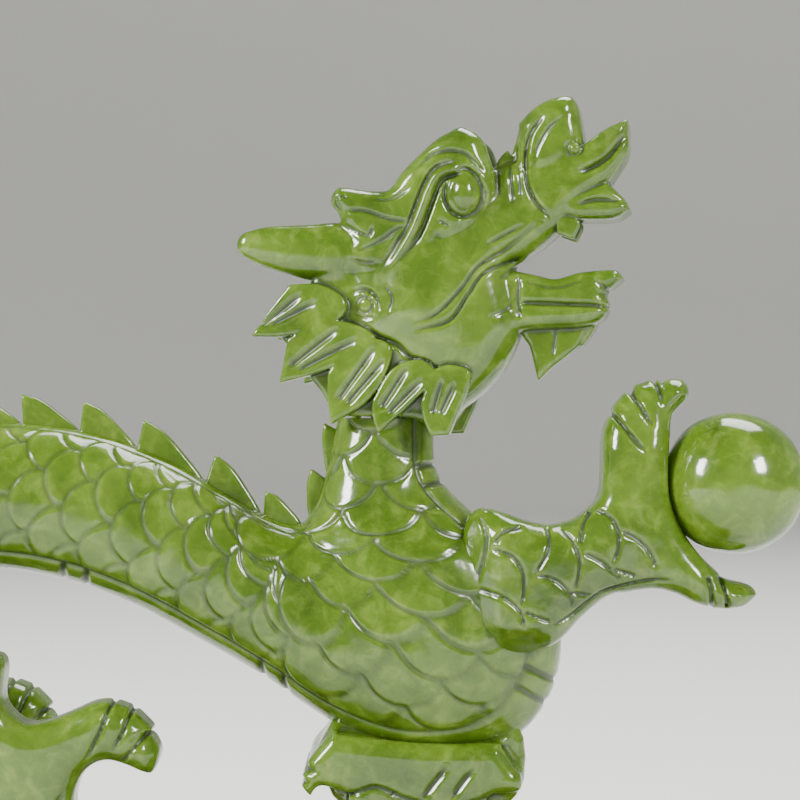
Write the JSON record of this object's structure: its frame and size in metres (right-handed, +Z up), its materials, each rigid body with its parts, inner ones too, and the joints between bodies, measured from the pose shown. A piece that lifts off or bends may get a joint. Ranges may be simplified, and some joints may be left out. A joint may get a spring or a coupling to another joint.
{
  "type": "jade dragon figurine",
  "caption": "Carved green jade dragon with a scaled arched body, open-mouthed head and clawed limbs, holding a ball, resting on cloud supports set in a low wooden stand.",
  "frame": {"origin": "centre of the whole object's box, on the surface the stand's feet rest on", "axes": "+X the way the dragon faces, +Z up, -Y its right side, which holds the pearl"},
  "size_m": [0.3254, 0.09, 0.235],
  "materials": {
    "jade": "polished yellow-green serpentine jade, translucent and faintly clouded",
    "bamboo": "bare split bamboo",
    "rosewood": "waxed dark rosewood"
  },
  "bodies": {
    "stand": {"stand_board": "rosewood", "stand_foot_front_left": "rosewood", "stand_foot_front_right": "rosewood", "stand_foot_rear_left": "rosewood", "stand_foot_rear_right": "rosewood", "stand_rail_front": "rosewood", "stand_rail_left": "rosewood", "stand_rail_rear": "rosewood", "stand_rail_right": "rosewood"},
    "figurine": {"front_body": "jade", "rear_body": "jade", "tail": "jade", "front_right_leg": "jade", "front_left_leg": "jade", "hind_right_leg": "jade", "hind_left_leg": "jade", "pearl": "jade", "front_cloud": "jade", "rear_cloud": "jade", "body_peg": "bamboo", "tail_peg": "bamboo", "front_right_leg_peg": "bamboo", "front_left_leg_peg": "bamboo", "hind_right_leg_peg": "bamboo", "hind_left_leg_peg": "bamboo", "pearl_peg": "bamboo", "front_cloud_peg": "bamboo", "rear_cloud_peg": "bamboo"},
    "neck_peg": {"neck_peg": "bamboo"},
    "head": {"head": "jade"}
  },
  "joints": [
    {"name": "figurine_lift", "type": "slide", "parent": "stand", "child": "figurine", "axis": [0, 0, 1], "range_m": [0, 0.04]},
    {"name": "head_turn", "type": "hinge", "parent": "figurine", "child": "neck_peg", "pos_m": [0.06025, 0, 0.1555], "axis": [0, 0, 1], "range_deg": [-15, 15]},
    {"name": "head_lift", "type": "slide", "parent": "neck_peg", "child": "head", "axis": [0, 0, 1], "range_m": [0, 0.03]}
  ]
}
